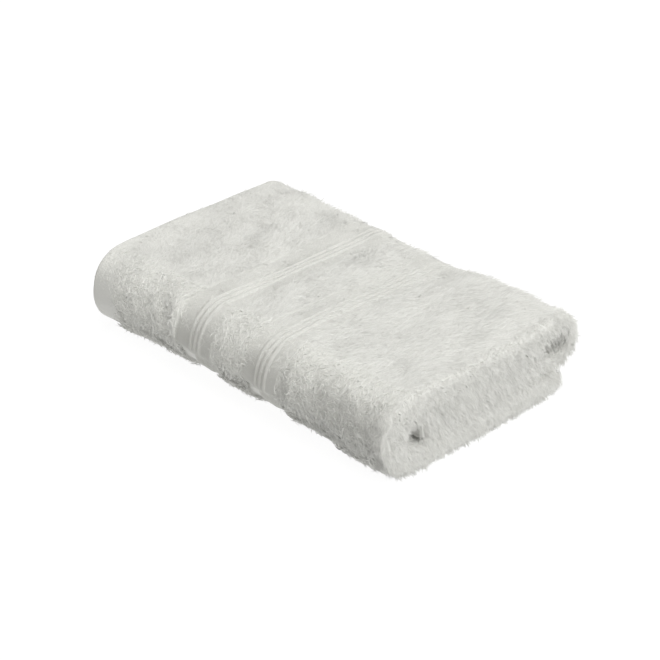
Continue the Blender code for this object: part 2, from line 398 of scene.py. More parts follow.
def ripple(points, wavelength, seed):
    """An even random swell of about that wavelength."""
    count = 20
    shortest, longest = 0.75, 1.35
    draw = np.random.default_rng(seed)
    ways = draw.normal(size=(3, count))
    pace = 2 * math.pi / wavelength * draw.uniform(shortest, longest, count)
    ways *= pace / np.linalg.norm(ways, axis=0)
    starts = draw.uniform(0, 2 * math.pi, count)
    return np.sin(points @ ways + starts).sum(axis=-1) * math.sqrt(2 / count)


def creased(points):
    """How far the creases lift the cloth's face at those points."""
    height = np.zeros(points.shape[:-1])
    for start, end, half_width, size in CREASES:
        first, way = np.array(start) * MM, (np.array(end) - np.array(start)) * MM
        share = np.clip((points - first) @ way / (way @ way), 0, 1)
        apart = np.linalg.norm(points - first - share[..., None] * way, axis=-1)
        height = height + size * ease(1 - apart / half_width / CREASE_FADE)
    return height


def set_in(along, x, turned):
    """How far the low part of the near side lies back."""
    heading = on_path(along)[2]
    full_x, full_reach, full_share = FULL_LOW_SIDE
    full = full_share * ease(FULL_FADE - FULL_FADE * np.abs(x - full_x) / full_reach)
    low, side = ease(LOW_GAIN * np.cos(heading)), ease(-SIDE_GAIN * np.sin(heading))
    back = LOW_SIDE_SET_IN * low * side * (1 - turned)
    return back * (along > NEAR_START) * ease((x - HEM_END) / SET_IN_OVER) * (1 - full)


def relief(from_hem, turned, along, points, bordered=1.0):
    """How far the cloth's face lies under the height that the pile reaches."""
    flat = np.where(from_hem < SEEN_PILE, in_border(from_hem), 0.0) * bordered
    free = np.maximum(faces_up(along), turned)
    top = on_top(along)
    pile = free * (SIDE_PILE_BODY + (PILE_BODY - SIDE_PILE_BODY) * np.maximum(top, turned))
    undercut = set_in(along, points[..., 0], turned)
    pile = pile + undercut - creased(points) * free
    lumpy = free * (LUMPS_ON_SIDE + (LUMPS_ON_TOP - LUMPS_ON_SIDE) * top)
    for wavelength, size, seed in LUMPS:
        pile = pile - size * ripple(points, wavelength, seed) * lumpy
    hem = HEM_DEPTH * (1 - HEM_RAISED_ON_TOP * top)
    border = (BORDER_DEPTH + border_slope(from_hem)) * (1 - BORDER_RAISED_ON_TOP * top) - cords(from_hem)
    woven = np.where(from_hem < HEM_WIDTH + PILE_LIP, hem, border)
    return flat * (woven + undercut) + (1 - flat) * pile


def stations():
    """Where the section is set along the path, close together where the towel shows."""
    between = np.concatenate([
        even_steps(MARKS[number], MARKS[number + 1], row[2]) for number, row in enumerate(PATH)
    ])
    return np.concatenate([END_STATIONS, between[1:], PATH_END - END_STATIONS[::-1]])


def wound_grid(columns, rows):
    """A grid of points, and each point's place round the section and along the path."""
    shape = bmesh.new()
    bmesh.ops.create_grid(shape, x_segments=columns, y_segments=rows - 1, size=1.0)
    mesh = bpy.data.meshes.new("towel_cloth")
    shape.to_mesh(mesh)
    shape.free()
    flat = np.empty(len(mesh.vertices) * 3)
    mesh.vertices.foreach_get("co", flat)
    flat = flat.reshape(-1, 3)
    column = np.rint((flat[:, 0] + 1) / 2 * columns).astype(int) % columns
    row = np.rint((flat[:, 1] + 1) / 2 * (rows - 1)).astype(int)
    return mesh, column, row


def close_up(mesh):
    """Joins the grid's two sides, and closes it at both selvedges."""
    shape = bmesh.new()
    shape.from_mesh(mesh)
    bmesh.ops.remove_doubles(shape, verts=shape.verts[:], dist=1e-7)
    rims = [edge for edge in shape.edges if edge.is_boundary]
    caps = bmesh.ops.holes_fill(shape, edges=rims, sides=0)["faces"]
    bmesh.ops.triangulate(shape, faces=caps)
    bmesh.ops.recalc_face_normals(shape, faces=shape.faces[:])
    shape.to_mesh(mesh)
    shape.free()
    mesh.shade_smooth()


def cloth_mesh():
    """The section carried along the path, with the cloth's relief and its flat map."""
    along = stations()
    mesh, column, row = wound_grid(len(line_x), len(along))
    x, depth, distance = line_x[column], line_depth[column], line_length[column]
    v = along[row]
    even = folded(x, depth, v)
    seen_face = distance <= line_length[-1] / 2
    turned = turned_out(distance)
    from_hem = np.where(seen_face, distance, BEYOND_BORDERS)
    skin = (distance <= SEEN_PILE) | (turned > 0)
    down = np.where(skin, relief(from_hem, turned, v, even), 0.0)
    # The rounded edge is only as thick as the hem that it ends.
    hem_down = relief(np.full(len(v), HEM_WIDTH / 2), 0.0, v, even)
    on_hem_edge = x < HEM_END + HEM_ROUNDING - 1e-6
    depth = np.where(on_hem_edge, CLOTH - (CLOTH - depth) * (1 - hem_down / CLOTH), depth)
    x = x - out_x[column] * down
    depth = depth - out_depth[column] * down
    edge = np.minimum(v, PATH_END - v) / END_STATIONS[-1]
    rounding = np.sqrt(np.clip(1 - (1 - np.clip(edge, 0, 1)) ** 2, THINNEST_SQUARED, 1))
    depth = line_middle[column] + (depth - line_middle[column]) * rounding
    mesh.vertices.foreach_set("co", folded(x, depth, v).ravel())
    # The flats' share of the darker woven colour, less on the top: painted shade on the sides.
    woven = mesh.attributes.new("woven_flat_painted_shade", "FLOAT", "POINT")
    shade = in_border(from_hem) * np.where(from_hem < HEM_WIDTH + PILE_LIP, HEM_SHADE, 1.0)
    shade = shade * (1 - PAINTED_SHADE_LESS_ON_TOP * on_top(v))
    woven.data.foreach_set("value", np.where(from_hem < SEEN_PILE, shade, 0.0))
    flat_map = mesh.uv_layers.new(name="flat_cloth")
    corner = np.empty(len(mesh.loops), np.int32)
    mesh.loops.foreach_get("vertex_index", corner)
    flat_map.data.foreach_set("uv", np.column_stack([distance, v])[corner].ravel().astype(np.float32))
    close_up(mesh)
    return mesh


def bare_surface():
    """Points on the even section all along the path, to set the cloth where the solid is."""
    v, column = np.meshgrid(np.linspace(0, PATH_END, 900), np.arange(len(line_x)))
    return folded(line_x[column], line_depth[column], v).reshape(-1, 3)


bare = bare_surface()
solid_low, solid_high = (np.array(corner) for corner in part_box("towel"))
to_solid = (solid_low + solid_high) / 2 - (bare.min(axis=0) + bare.max(axis=0)) / 2
to_solid[2] = solid_low[2] - bare.min(axis=0)[2]
to_solid[0] = solid_low[0] - bare.min(axis=0)[0]
cloth = bpy.data.objects.new("towel_cloth", cloth_mesh())
bpy.context.scene.collection.objects.link(cloth)
cloth.data.transform(Matrix.Translation(Vector(to_solid)))

# Off-white cotton: the flats are a little darker than the ground under the pile, partly by
# their own closer weave and partly as painted shade, standing for the shade that the flats
# lie in beside the pile.
WOVEN_LIGHT = (0.54, 0.54, 0.507)
WOVEN_DARK = (0.49, 0.49, 0.457)
PILE_GROUND = (0.61, 0.61, 0.58)
THREAD_PITCH = 0.7 * MM
THREAD_HEIGHT = 0.2 * MM
GRAIN_SCALE = 900
GRAIN_HEIGHT = 0.4 * MM


def matt_cotton(name):
    """A matt material with the faint sheen of cotton, with its nodes, links and shader."""
    material = bpy.data.materials.new(name)
    material.use_nodes = True
    nodes, links = material.node_tree.nodes, material.node_tree.links
    shader = nodes["Principled BSDF"]
    shader.inputs["Roughness"].default_value = 0.95
    shader.inputs["Specular IOR Level"].default_value = 0.2
    shader.inputs["Sheen Weight"].default_value = 0.25
    shader.inputs["Sheen Roughness"].default_value = 0.6
    return material, nodes, links, shader


def point_value(nodes, name):
    """A value that the mesh holds at its points, for a material to read."""
    node = nodes.new("ShaderNodeAttribute")
    node.attribute_name = name
    return node.outputs["Fac"]


def woven_cotton():
    """Cotton a little uneven in colour, with a fine grain, the weave of the flats, and the flats' darker
    colour, which is partly painted shade.
    """
    material, nodes, links, shader = matt_cotton("woven_cotton")
    place = nodes.new("ShaderNodeTexCoord")
    patches = nodes.new("ShaderNodeTexNoise")
    patches.inputs["Scale"].default_value = 45.0
    patches.inputs["Detail"].default_value = 4.0
    links.new(place.outputs["Object"], patches.inputs["Vector"])
    colours = nodes.new("ShaderNodeValToRGB")
    colours.color_ramp.elements[0].position = 0.35
    colours.color_ramp.elements[0].color = (*WOVEN_DARK, 1)
    colours.color_ramp.elements[1].position = 0.65
    colours.color_ramp.elements[1].color = (*WOVEN_LIGHT, 1)
    links.new(patches.outputs["Fac"], colours.inputs["Fac"])
    # The flats take the darker woven colour, less of it on the top: painted shade on the sides.
    woven = point_value(nodes, "woven_flat_painted_shade")
    either = nodes.new("ShaderNodeMix")
    either.data_type = "RGBA"
    either.inputs["A"].default_value = (*PILE_GROUND, 1)
    links.new(woven, either.inputs["Factor"])
    links.new(colours.outputs["Color"], either.inputs["B"])
    links.new(either.outputs["Result"], shader.inputs["Base Color"])
    grain = nodes.new("ShaderNodeTexNoise")
    grain.inputs["Scale"].default_value = GRAIN_SCALE
    grain.inputs["Detail"].default_value = 3.0
    links.new(place.outputs["Object"], grain.inputs["Vector"])
    bump = nodes.new("ShaderNodeBump")
    bump.inputs["Strength"].default_value = 0.6
    bump.inputs["Distance"].default_value = GRAIN_HEIGHT
    links.new(grain.outputs["Fac"], bump.inputs["Height"])
    threads = nodes.new("ShaderNodeUVMap")
    threads.uv_map = "flat_cloth"
    weave = nodes.new("ShaderNodeMath")
    weave.operation = "MULTIPLY"
    for socket, direction in enumerate(("X", "Y")):
        wave = nodes.new("ShaderNodeTexWave")
        wave.bands_direction = direction
        wave.inputs["Scale"].default_value = math.pi / 10 / THREAD_PITCH
        links.new(threads.outputs["UV"], wave.inputs["Vector"])
        links.new(wave.outputs["Fac"], weave.inputs[socket])
    on_flats = nodes.new("ShaderNodeMath")
    on_flats.operation = "MULTIPLY"
    links.new(weave.outputs["Value"], on_flats.inputs[0])
    links.new(woven, on_flats.inputs[1])
    weave_bump = nodes.new("ShaderNodeBump")
    weave_bump.inputs["Strength"].default_value = 0.8
    weave_bump.inputs["Distance"].default_value = THREAD_HEIGHT
    links.new(on_flats.outputs["Value"], weave_bump.inputs["Height"])
    links.new(bump.outputs["Normal"], weave_bump.inputs["Normal"])
    links.new(weave_bump.outputs["Normal"], shader.inputs["Normal"])
    return material


cloth.data.materials.append(woven_cotton())
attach(cloth, "root")
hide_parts("towel")

# The pile is loops of soft cotton yarn, woven in at their roots and left uncut, which lie over
# in small tufts after a wash. Each is a bent finger that narrows to its tip. Fine straight
# hairs and curls lie over them, and longer pile closes the round end.
LOOP_RINGS = np.array([0.0, 0.6, 1.0])
LOOP_PROFILE = np.array([1.0, 0.85, 0.0])
SIDES_OF_A_STRAND = 3
THICKNESS_SPREAD = (0.8, 1.2)
LOOP_SUNK = 0.1 * MM
# How light falls on a strand: as on the pile under it, by its own roundness, which counts more
# on the near side, and a little from above.
OWN_ROUNDNESS = 0.75
SIDE_ROUNDNESS = 1.5
TIPS_UP = 0.15


def strand_template(sides, rings):
    """A finger along Z with rings one apart, open at its root, as points and triangles."""
    shape = bmesh.new()
    ring = bmesh.ops.create_circle(shape, segments=sides, radius=1.0)["verts"]
    edges = list({edge for vert in ring for edge in vert.link_edges})
    for _ in range(rings - 1):
        grown = bmesh.ops.extrude_edge_only(shape, edges=edges)["geom"]
        edges = [piece for piece in grown if isinstance(piece, bmesh.types.BMEdge)]
        edges = [edge for edge in edges if edge.is_boundary and edge.verts[0] not in ring]
        ring = [piece for piece in grown if isinstance(piece, bmesh.types.BMVert)]
        edges = [edge for edge in edges if edge.verts[0] in ring and edge.verts[1] in ring]
        bmesh.ops.translate(shape, verts=ring, vec=(0, 0, 1))
    bmesh.ops.pointmerge(shape, verts=ring, merge_co=(0, 0, rings - 1))
    bmesh.ops.triangulate(shape, faces=shape.faces[:])
    bmesh.ops.recalc_face_normals(shape, faces=shape.faces[:])
    shape.verts.index_update()
    points = np.array([vert.co[:] for vert in shape.verts])
    faces = np.array([[vert.index for vert in face.verts] for face in shape.faces])
    middle = points[faces].mean(axis=1)
    first, second, third = (points[faces[:, corner]] for corner in range(3))
    normal = np.cross(second - first, third - first)
    if (normal[:, :2] * middle[:, :2]).sum() < 0:
        faces = faces[:, ::-1]
    shape.free()
    return points, faces


def joined_strands(name, template, centres, radii, sides, roundness, seed):
    """One mesh of many strands: each follows its own row of centres with its own radii."""
    points, faces = template
    ring = np.rint(points[:, 2]).astype(int)
    along = np.gradient(centres, axis=1)
    along /= np.maximum(np.linalg.norm(along, axis=2, keepdims=True), 1e-9)
    draw = np.random.default_rng(seed)
    across = np.cross(along, draw.normal(size=(len(centres), 1, 3)))
    across /= np.maximum(np.linalg.norm(across, axis=2, keepdims=True), 1e-9)
    other = np.cross(along, across)
    spot = centres[:, ring] + radii[:, ring, None] * (
        points[:, 0, None] * across[:, ring] + points[:, 1, None] * other[:, ring]
    )
    spot = spot.reshape(-1, 3)
    spot[:, 2] = np.maximum(spot[:, 2], solid_low[2])
    corners = (faces[None] + len(points) * np.arange(len(centres))[:, None, None]).reshape(-1)
    mesh = bpy.data.meshes.new(name)
    mesh.vertices.add(len(spot))
    mesh.vertices.foreach_set("co", spot.ravel())
    mesh.loops.add(len(corners))
    mesh.loops.foreach_set("vertex_index", corners)
    mesh.polygons.add(len(corners) // 3)
    mesh.polygons.foreach_set("loop_start", np.arange(0, len(corners), 3))
    tone = mesh.attributes.new("strand_tone", "FLOAT", "POINT")
    tone.data.foreach_set("value", np.repeat(draw.random(len(centres)), len(points)))
    # Each point's share along its strand, from root to tip, which the yarn reads for painted shade at
    # the root.
    share = mesh.attributes.new("strand_share", "FLOAT", "POINT")
    share.data.foreach_set("value", np.tile(points[:, 2] / ring.max(), len(centres)))
    mesh.update(calc_edges=True)
    mesh.shade_smooth()
    own = np.empty(len(spot) * 3, np.float32)
    mesh.vertex_normals.foreach_get("vector", own)
    shaded = np.repeat(sides, len(points), axis=0) + roundness * own.reshape(-1, 3)
    shaded[:, 2] += TIPS_UP
    shaded /= np.linalg.norm(shaded, axis=1, keepdims=True)
    mesh.normals_split_custom_set_from_vertices(shaded)
    piece = bpy.data.objects.new(name, mesh)
    bpy.context.scene.collection.objects.link(piece)
    return piece


def on_face(distance, along, rise=0.0):
    """Points that stand that much above the even face."""
    x = np.interp(distance, line_length, line_x) + np.interp(distance, line_length, out_x) * rise
    depth = np.interp(distance, line_length, line_depth)
    depth = depth + np.interp(distance, line_length, out_depth) * rise
    return folded(x, depth, along) + to_solid


# Roots stand in uneven rows, this share of their spacing apart. Where the cloth is flat by
# more than this share, only its top has fuzz, shorter than pile and as dense as given here.
ROW_SPACING = 0.87
UNEVEN = 0.36
FLAT_FROM = 0.6
HEM_FUZZ = 0.9
BORDER_FUZZ = 0.5
CORD_FUZZ = 0.4
FUZZ_LENGTH = 0.55


def roots(first, last, start, end, spacing, seed):
    """Staggered uneven rows of roots on a stretch: distance round the section, and along."""
    draw = np.random.default_rng(seed)
    rows = np.arange(start, end, spacing * ROW_SPACING)
    columns = np.arange(first, last, spacing)
    along, distance = np.meshgrid(rows, columns, indexing="ij")
    distance = distance + (np.arange(len(rows)) % 2)[:, None] * spacing / 2
    distance = (distance + draw.uniform(-UNEVEN, UNEVEN, distance.shape) * spacing).ravel()
    along = (along + draw.uniform(-UNEVEN, UNEVEN, along.shape) * spacing).ravel()
    bare_share = np.where(distance > SEEN_PILE, 0.0, in_border(distance))
    fuzz = on_top(along) * np.where(distance < HEM_WIDTH, HEM_FUZZ, BORDER_FUZZ)
    fuzz = np.where(cords(distance) > 0, CORD_FUZZ * on_top(along), fuzz)
    inside = (distance > first) & (distance < last) & (along > start) & (along < end)
    kept = inside & ((bare_share < FLAT_FROM) | (draw.random(len(along)) < fuzz))
    distance, along, bare_share = distance[kept], along[kept], bare_share[kept]
    normal, size = facing(on_face, distance, along)
    kept = draw.random(len(size)) < size
    length = np.where(bare_share[kept] < FLAT_FROM, 1.0, FUZZ_LENGTH)
    return distance[kept], along[kept], normal[kept], length


def facing(surface, distance, along):
    """Which way a surface faces, and how much it is stretched there."""
    step = 0.3 * MM
    across = (surface(distance + step, along) - surface(distance - step, along)) / (2 * step)
    onward = (surface(distance, along + step) - surface(distance, along - step)) / (2 * step)
    normal = np.cross(onward, across)
    size = np.linalg.norm(normal, axis=1)
    return normal / size[:, None], size


def standing(distance, along, bordered=1.0):
    """Points on the uneven face of the cloth, a little under it, for roots to start from."""
    turned = turned_out(distance)
    x, depth = (np.interp(distance, line_length, row) for row in (line_x, line_depth))
    even = folded(x, depth, along)
    from_hem = np.where(distance <= SEEN_PILE, distance, BEYOND_BORDERS)
    down = relief(from_hem, turned, along, even, bordered)
    inner = (distance > ROUND_END[1]) & (distance < SECOND_TURN[0])
    down = np.where(inner, 0.0, down)
    return on_face(distance, along, -down - LOOP_SUNK)


def pile_top(distance, along):
    """The uneven face without the flats of the borders, for the way that the pile looks."""
    return standing(distance, along, 0.0)


# The pile is combed towards the loop and the round end, less so towards the hem's end.
COMB_PULL = (0.7, 0.7, 0.0)
COMBED_LEAST = 0.25
COMBED_OVER = 90 * MM
SWIRL = 0.2
SWIRL_SIZE = 24 * MM
TUFT_LOOPS = 9


def comb(start, wildness, seed):
    """Which way the pile lies: combed over, in swirls, and a little at random."""
    draw = np.random.default_rng(seed)
    way = wildness * draw.normal(size=(len(start), 3))
    combed = COMBED_LEAST + (1 - COMBED_LEAST) * ease(0.5 + start[:, 0] / COMBED_OVER)
    for axis, pull in enumerate(COMB_PULL):
        way[:, axis] += pull * combed + SWIRL * ripple(start, SWIRL_SIZE, 40 + axis)
    return way


def to_tufts(start, seed):
    """The way from each loop to the middle of its tuft."""
    draw = np.random.default_rng(seed)
    leaders = np.flatnonzero(draw.random(len(start)) < 1 / TUFT_LOOPS)
    tree = KDTree(len(leaders))
    for number in leaders:
        tree.insert(start[number], int(number))
    tree.balance()
    return start[np.array([tree.find(place)[1] for place in start])] - start


def strands(name, centres, radius, profile, sides, seed):
    """Joins strands along those centres, gives them their yarn and lets them ride the towel."""
    draw = np.random.default_rng(seed + 150)
    uneven = draw.uniform(*THICKNESS_SPREAD, (len(centres), 1))
    radii = np.broadcast_to(radius, len(centres))[:, None] * uneven * profile
    template = strand_template(SIDES_OF_A_STRAND, len(profile))
    roundness = SIDE_ROUNDNESS if name.endswith("near_side") else OWN_ROUNDNESS
    piece = joined_strands(name, template, centres, radii, sides, roundness, seed + 200)
    piece.data.materials.append(yarn)
    piece.visible_shadow = False
    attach(piece, "root")


# On the near side the pile hangs, more and more towards the round end.
SHADED_TILT = 1.0
SHADED_OVER = 100 * MM


def shaded_side(sides, start):
    """The way the pile looks, turned down a little where it hangs."""
    down = SHADED_TILT * ease(start[:, 0] / SHADED_OVER) * np.clip(-sides[:, 1], 0, 1)
    return sides - down[:, None] * np.array([0.0, 0.0, 1.0])


# Loops differ in length, by chance and in patches, and some stand out of the pile.
LENGTH_SPREAD = (0.6, 1.4)
PATCH_STRENGTH = 0.15
PATCH_SIZE = 6 * MM
ARCH = 0.6
STRAY_SHARE = 0.12
STRAY_RISE = 2.2
STRAY_THICKNESS = 1.5
END_FLATNESS = 1.2


def loops(name, stretch, spacing, form, wildness, tufting, seed):
    """The pile of one stretch, combed over, with a few strands that stand out of it."""
    rise, reach, radius, rings, profile = form
    distance, along, normal, length = roots(*stretch, spacing, seed)
    start = standing(distance, along)
    sides, _ = facing(pile_top, distance, along)
    sides[:, 0] += END_FLATNESS * turned_out(distance) ** 2 * (sides[:, 0] > 0)
    sides = shaded_side(sides, start)
    sides /= np.linalg.norm(sides, axis=1, keepdims=True)
    lean = comb(start, wildness, seed + 100)
    lean -= normal * (lean * normal).sum(axis=1, keepdims=True)
    draw = np.random.default_rng(seed + 150)
    size = length * draw.uniform(*LENGTH_SPREAD, len(start))
    size = size * (1 + PATCH_STRENGTH * ripple(start, PATCH_SIZE, 50))
    stray = draw.random(len(start)) < STRAY_SHARE
    height = rise * size * np.where(stray, STRAY_RISE, 1.0)
    share = rings[None, :, None]
    centres = (
        start[:, None] + normal[:, None] * height[:, None, None] * share * (1 + ARCH - ARCH * share)
        + lean[:, None] * (reach * size)[:, None, None] * share
        + tufting * to_tufts(start, seed + 170)[:, None] * share * share
    )
    thickness = radius * np.where(stray, STRAY_THICKNESS, 1.0)
    strands(name, centres, thickness, profile, sides, seed)


# Curls: their sizes, how far one bends round in radians, the start and run of the arch that
# it follows, and the share of them that is kept beyond this distance from the hem.
CURL_SPACING = 2.1 * MM
CURL_LENGTH = 6.4 * MM
CURL_LENGTH_SPREAD = (0.6, 1.3)
CURL_BEND = (1.2, 3.0)
CURL_RISE = 1.0 * MM
CURL_ARCH = (0.12, 0.8)
CURL_RADIUS = 0.32 * MM
CURL_PROFILE = np.array([0.8, 1.0, 1.0, 0.8, 0.0])
CURLY_UP_TO = 190 * MM
CURLS_BEYOND = 0.4
CURLS_FADE = 24 * MM


def curls(name, stretch, seed):
    """Thicker curled loops that lie over the pile of the near side, most of them by the hem."""
    distance, along, normal, length = roots(*stretch, CURL_SPACING, seed)
    draw = np.random.default_rng(seed + 150)
    share = np.where(distance < CURLY_UP_TO, 1.0, CURLS_BEYOND)
    share = share * ease((along - NEAR_START) / CURLS_FADE) ** 0.5
    kept = (length == 1) & (draw.random(len(along)) < share)
    distance, along, normal = distance[kept], along[kept], normal[kept]
    start = standing(distance, along)
    sides, _ = facing(pile_top, distance, along)
    sides = shaded_side(sides, start)
    lean = draw.normal(size=start.shape) + comb(start, 0.0, seed + 100)
    lean -= normal * (lean * normal).sum(axis=1, keepdims=True)
    lean /= np.linalg.norm(lean, axis=1, keepdims=True)
    across = np.cross(normal, lean)
    bend = draw.uniform(*CURL_BEND, len(start)) * draw.choice((-1, 1), len(start))
    length = CURL_LENGTH * draw.uniform(*CURL_LENGTH_SPREAD, len(start))
    rings = np.linspace(0, 1, len(CURL_PROFILE))
    turn = bend[:, None] * rings
    onward = np.sin(turn) / bend[:, None] * length[:, None]
    sideways = (1 - np.cos(turn)) / bend[:, None] * length[:, None]
    height = CURL_RISE * np.sin(math.pi * (CURL_ARCH[0] + CURL_ARCH[1] * rings))
    centres = (
        start[:, None] + lean[:, None] * onward[:, :, None] + across[:, None] * sideways[:, :, None]
        + normal[:, None] * height[None, :, None]
    )
    strands(name, centres, CURL_RADIUS, CURL_PROFILE, sides, seed)


# Long pile: its sizes, and how it leans out of the end and hangs. In the grooves between the
# layers it is longer by a groove's depth, and in the hollow of the loop it is longer too.
END_RADIUS = 0.17 * MM
END_LENGTH_SPREAD = (0.6, 1.3)
END_PATCH_STRENGTH = 0.2
END_PATCH_SIZE = 7 * MM
END_WILDNESS = 0.6
END_STRAY = 1.5
END_LEAN_OUT = 0.5
END_LEAN_DOWN = 0.2
END_DROOP = 0.3
END_TUFTING = 1.1
END_LUMPS = 0.12
END_LUMP_SIZE = 9 * MM
EDGE_TURN = 5.0
END_FACE = TURN_START + ROUND_END_REACH - LONG_PILE + 1 * MM
DEEPEST_FILL = 4.5 * MM
GROOVE_LEAN_OUT = 0.9
GROOVE_LESS_UPRIGHT = 0.6
GROOVE_OUTWARD = 3
LOOP_MIDDLE = (LOOP_START + LOOP_TOP) / 2
LOOP_CLEAR = 34 * MM
HOLE_CLEAR = 1.2 * MM
HOLE_FADE = 1.5
HOLLOW_OUTWARD = 2.0
HOLLOW_LONGER = 0.7


def long_pile(name, stretch, spacing, seed):
    """The longer pile on the round end, which fills the steps between the layers there."""
    distance, along, normal, _ = roots(*stretch, spacing, seed)
    start = standing(distance, along)
    middle = (ROUND_END[0] + ROUND_END[1]) / 2
    inner = (distance > middle) | (along < LOOP_START)
    by_hollow = ease(2 - np.abs(along - LOOP_MIDDLE) / LOOP_CLEAR)
    groove = inner * (1 - by_hollow) * (1 - ease(HOLE_FADE - along / HOLE_CLEAR))
    back = np.clip(END_FACE + to_solid[0] - start[:, 0], 0, DEEPEST_FILL) * groove
    draw = np.random.default_rng(seed + 150)
    upright = 1 - GROOVE_LESS_UPRIGHT * groove
    way = draw.normal(size=start.shape) * END_WILDNESS + normal * upright[:, None]
    way[:, 0] += END_LEAN_OUT + GROOVE_LEAN_OUT * groove
    way[:, 2] -= END_LEAN_DOWN
    way /= np.linalg.norm(way, axis=1, keepdims=True)
    length = LONG_PILE * draw.uniform(*END_LENGTH_SPREAD, len(start))
    length = length * (1 + END_PATCH_STRENGTH * ripple(start, END_PATCH_SIZE, 51))
    length = length * np.where(draw.random(len(start)) < STRAY_SHARE, END_STRAY, 1.0) + back
    length = length * (1 + HOLLOW_LONGER * inner * by_hollow)
    share = LOOP_RINGS[None, :, None]
    centres = (
        start[:, None] + way[:, None] * length[:, None, None] * share
        + END_TUFTING * to_tufts(start, seed + 170)[:, None] * share * share
    )
    centres[:, -1, 2] -= END_DROOP * length
    sides, _ = facing(pile_top, distance, along)
    turned = turned_out(distance)
    outward = END_FLATNESS * turned ** 2 + GROOVE_OUTWARD * groove
    sides[:, 0] += outward + HOLLOW_OUTWARD * inner * by_hollow
    sides[:, 1] -= EDGE_TURN * turned * (1 - turned) * (1 - inner)
    sides /= np.linalg.norm(sides, axis=1, keepdims=True)
    lumps = [ripple(start, END_LUMP_SIZE, 60 + axis) for axis in range(3)]
    sides += END_LUMPS * np.stack(lumps, axis=1)
    strands(name, centres, END_RADIUS, LOOP_PROFILE, sides, seed)


# Each strand has a tone between two, which differs at random, and is painted darker at its
# root: painted shade, as the pile casts no shadows of its own.
STRAND_DARK = (0.60, 0.60, 0.565)
STRAND_LIGHT = (0.83, 0.83, 0.795)
ROOT_PAINTED_SHADE = (0.58, 0.58, 0.55)


def soft_yarn():
    """The loose matt yarn of the pile, with painted shade towards the roots."""
    material, nodes, links, shader = matt_cotton("soft_yarn")
    each = nodes.new("ShaderNodeMix")
    each.data_type = "RGBA"
    each.inputs["A"].default_value = (*STRAND_DARK, 1)
    each.inputs["B"].default_value = (*STRAND_LIGHT, 1)
    links.new(point_value(nodes, "strand_tone"), each.inputs["Factor"])
    # Painted shade: each strand is darker towards its root.
    painted_root_shade = nodes.new("ShaderNodeMix")
    painted_root_shade.data_type = "RGBA"
    painted_root_shade.inputs["A"].default_value = (*ROOT_PAINTED_SHADE, 1)
    links.new(point_value(nodes, "strand_share"), painted_root_shade.inputs["Factor"])
    links.new(each.outputs["Result"], painted_root_shade.inputs["B"])
    links.new(painted_root_shade.outputs["Result"], shader.inputs["Base Color"])
    return material


yarn = soft_yarn()
TOP_MIDDLE = LOOP_TOP + 63 * MM
FROM_NEAR = (NEAR_START, NEAR_END + 3 * MM)
# The stretches that the pile covers, round the section and along the path, with its spacing,
# wildness and tufting. The forms give its rise, reach, radius, rings and profile.
PILE_STRETCHES = (
    ("pile_loop_side", (HEM_ROUNDING, SEEN_PILE, LOOP_START - 12 * MM, LOOP_TOP), 1.55 * MM, 0.35, 0.4),
    ("pile_top_far", (HEM_ROUNDING, SEEN_PILE, LOOP_TOP, TOP_MIDDLE), 1.28 * MM, 0.3, 0.4),
    ("pile_top_near", (HEM_ROUNDING, SEEN_PILE, TOP_MIDDLE, NEAR_START), 1.28 * MM, 0.3, 0.4),
    ("pile_near_side", (HEM_ROUNDING, SEEN_PILE, *FROM_NEAR), 1.25 * MM, 0.8, 0.8),
)
YARN_RADIUS = 0.14 * MM
BENT = (0.8 * MM, 3.0 * MM, YARN_RADIUS, LOOP_RINGS, LOOP_PROFILE)
for number, (name, stretch, spacing, wildness, tufting) in enumerate(PILE_STRETCHES):
    loops(name, stretch, spacing, BENT, wildness, tufting, 10 + number)
# At the hem end and on the free edge the layers show their own pile, which nothing presses.
FLUFFY = (1.6 * MM, 1.7 * MM, YARN_RADIUS, LOOP_RINGS, LOOP_PROFILE)
FLUFFY_WILDNESS = 0.7
FLUFFY_TUFTING = 0.4
SELVEDGES = (0.5 * MM, PATH_END - 0.5 * MM)
FREE_EDGE = (PATH_END - 24 * MM, PATH_END - 1 * MM)
for number, (name, stretch, spacing) in enumerate((
    ("pile_turned_end", (*SECOND_TURN, *SELVEDGES), 1.35 * MM),
    ("pile_free_edge", (ROUND_END[1], SECOND_TURN[0], *FREE_EDGE), 1.7 * MM),
)):
    loops(name, stretch, spacing, FLUFFY, FLUFFY_WILDNESS, FLUFFY_TUFTING, 14 + number)
# Over it lie fine straight hairs, which the comb has drawn out of the loops, and curls.
STRAIGHT = (np.array([0.0, 1.0]), np.array([1.0, 0.0]))
HAIR = (1.3 * MM, 5.2 * MM, 0.19 * MM, *STRAIGHT)
SHORT_HAIR = (0.9 * MM, 4.5 * MM, 0.2 * MM, *STRAIGHT)
for number, (name, spacing, form, wildness) in enumerate((
    ("hairs_loop_side", 1.3 * MM, HAIR, 0.25),
    ("hairs_top_far", 0.95 * MM, HAIR, 0.25),
    ("hairs_top_near", 0.95 * MM, HAIR, 0.25),
    ("hairs_near_side", 1.2 * MM, SHORT_HAIR, 0.5),
)):
    loops(name, PILE_STRETCHES[number][1], spacing, form, wildness, 0.0, 50 + number)
curls("curls_near_side", (HEM_WIDTH, SEEN_PILE, *FROM_NEAR), 60)
